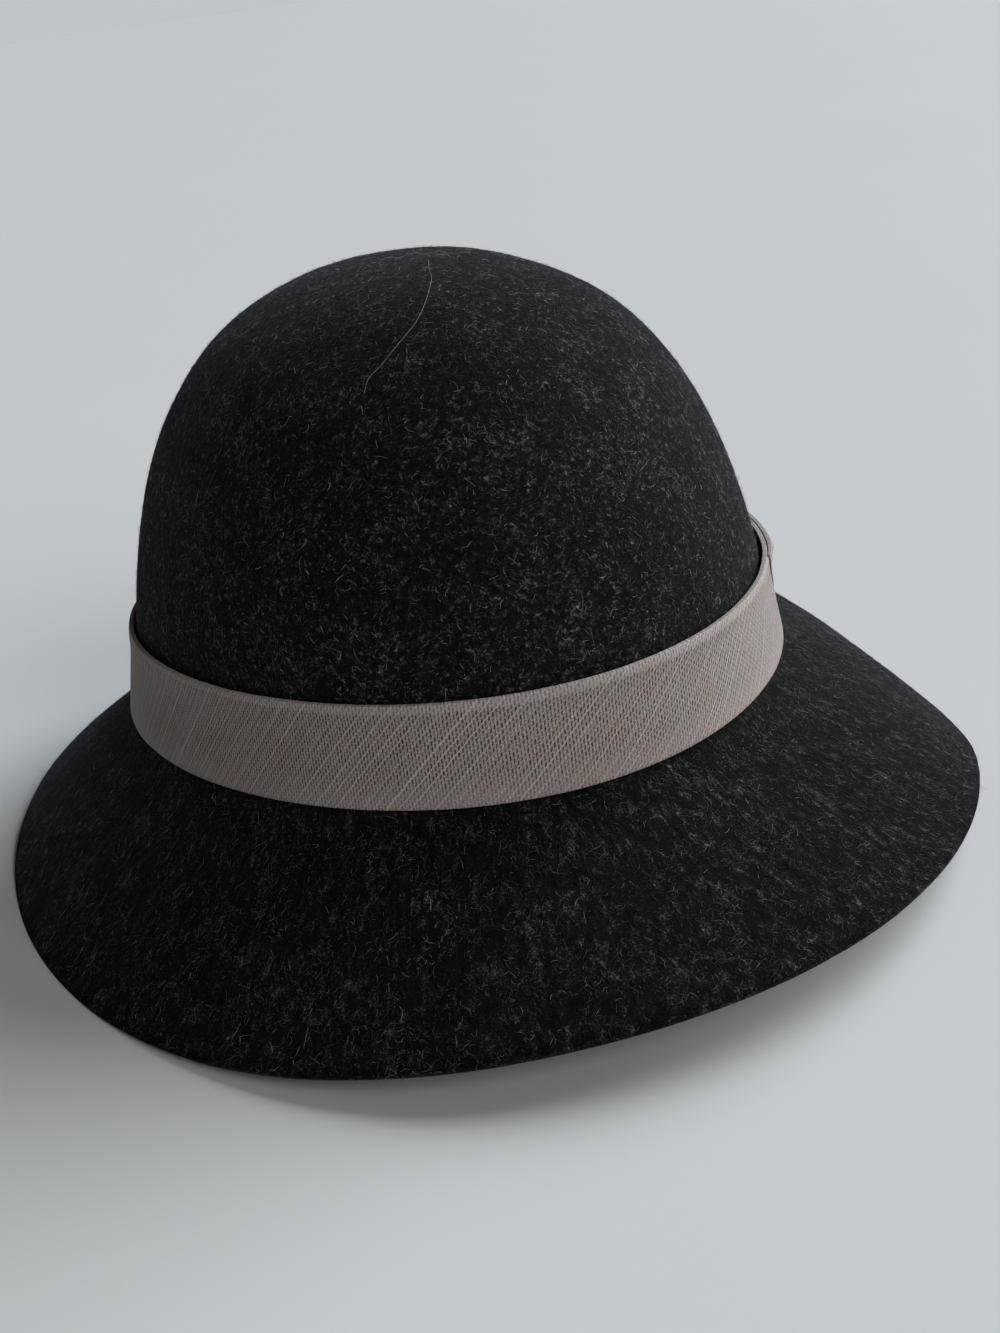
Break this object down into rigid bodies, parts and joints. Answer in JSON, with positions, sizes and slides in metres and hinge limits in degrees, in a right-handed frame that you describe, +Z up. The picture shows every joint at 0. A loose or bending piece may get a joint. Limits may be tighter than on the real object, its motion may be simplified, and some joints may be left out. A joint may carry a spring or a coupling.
{
  "type": "cloche hat",
  "caption": "One-piece wool felt hat with a domed crown, a down-turned brim and a ribbon band whose end laps over itself at the side.",
  "frame": {"origin": "bottom centre of the bounding box, on the surface that the brim's rim rests on", "axes": "+Z up, the wearer faces -Y, +X is the wearer's left"},
  "size_m": [0.2606, 0.2952, 0.1471],
  "materials": {
    "wool_felt": "charcoal heathered wool felt, matt, with short light fibres",
    "bias_ribbon": "warm grey bias-cut ribbon, fine weave, soft sheen"
  },
  "bodies": {
    "root": {"felt_hood": "wool_felt", "hat_band": "bias_ribbon"}
  },
  "joints": []
}
